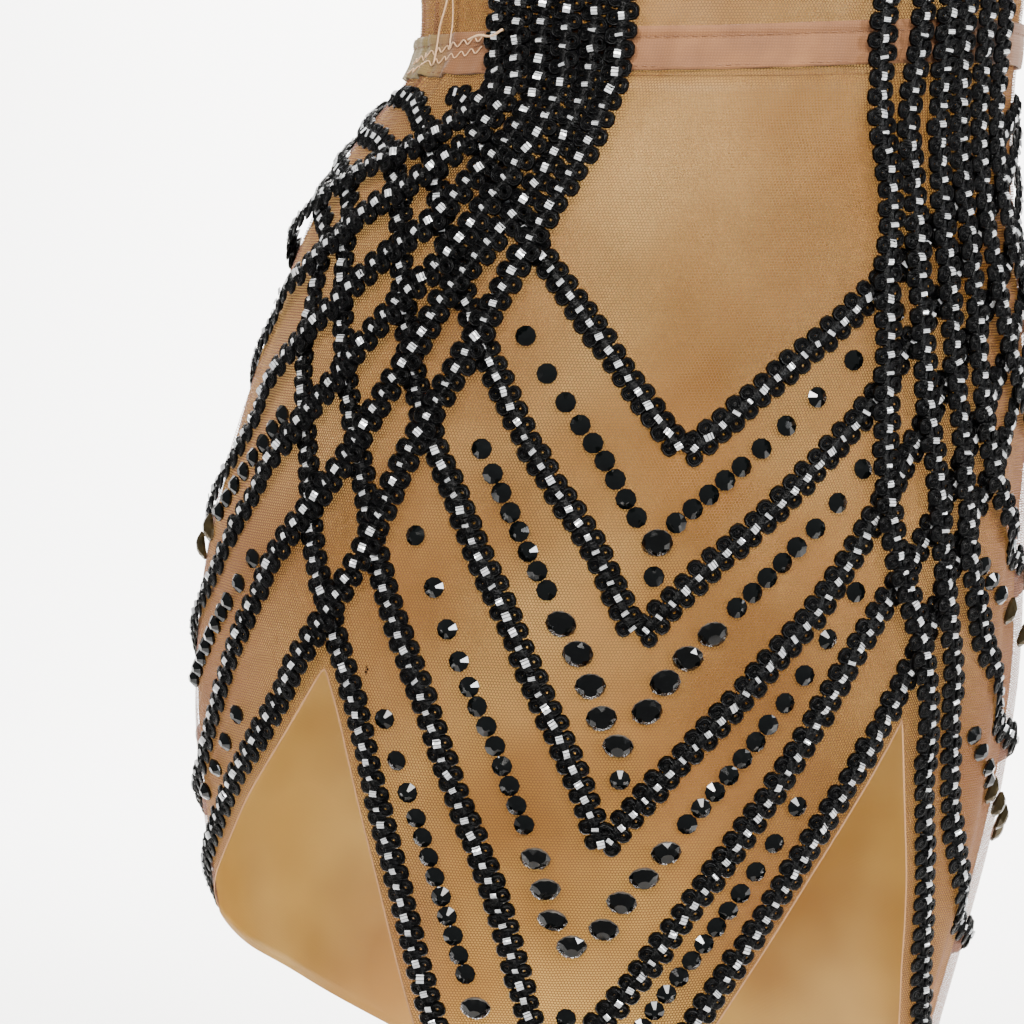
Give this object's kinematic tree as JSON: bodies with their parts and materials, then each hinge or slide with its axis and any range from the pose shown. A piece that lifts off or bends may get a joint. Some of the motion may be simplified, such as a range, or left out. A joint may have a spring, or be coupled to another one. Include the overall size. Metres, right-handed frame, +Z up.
{
  "type": "mini dress",
  "caption": "Sleeveless sheer mini dress with beaded black braid in nested points over the hips, front slits, an elastic waist and faceted stones, in its worn hollow form.",
  "frame": {"origin": "middle of the shoulder line, where a wearer's shoulders carry the straps", "axes": "+Z up, the front of the dress faces -Y"},
  "size_m": [0.372, 0.2437, 0.8861],
  "materials": {
    "mesh": "sheer power mesh, matte",
    "elastic": "woven elastic, matte",
    "braid": "coiled glossy cord with small mirror squares"
  },
  "bodies": {
    "root": {"skirt_front": "mesh", "skirt_back": "mesh", "bodice_front": "mesh", "bodice_back": "mesh", "waistband_front": "elastic", "waistband_back": "elastic", "braid_front_1": "braid", "braid_front_2": "braid", "braid_front_3": "braid", "braid_front_4": "braid", "braid_front_5": "braid", "braid_left_1": "braid", "braid_left_2": "braid", "braid_left_3": "braid", "braid_left_4": "braid", "braid_left_5": "braid", "braid_left_6": "braid", "braid_right_1": "braid", "braid_right_2": "braid", "braid_right_3": "braid", "braid_right_4": "braid", "braid_right_5": "braid", "braid_right_6": "braid"}
  },
  "joints": []
}
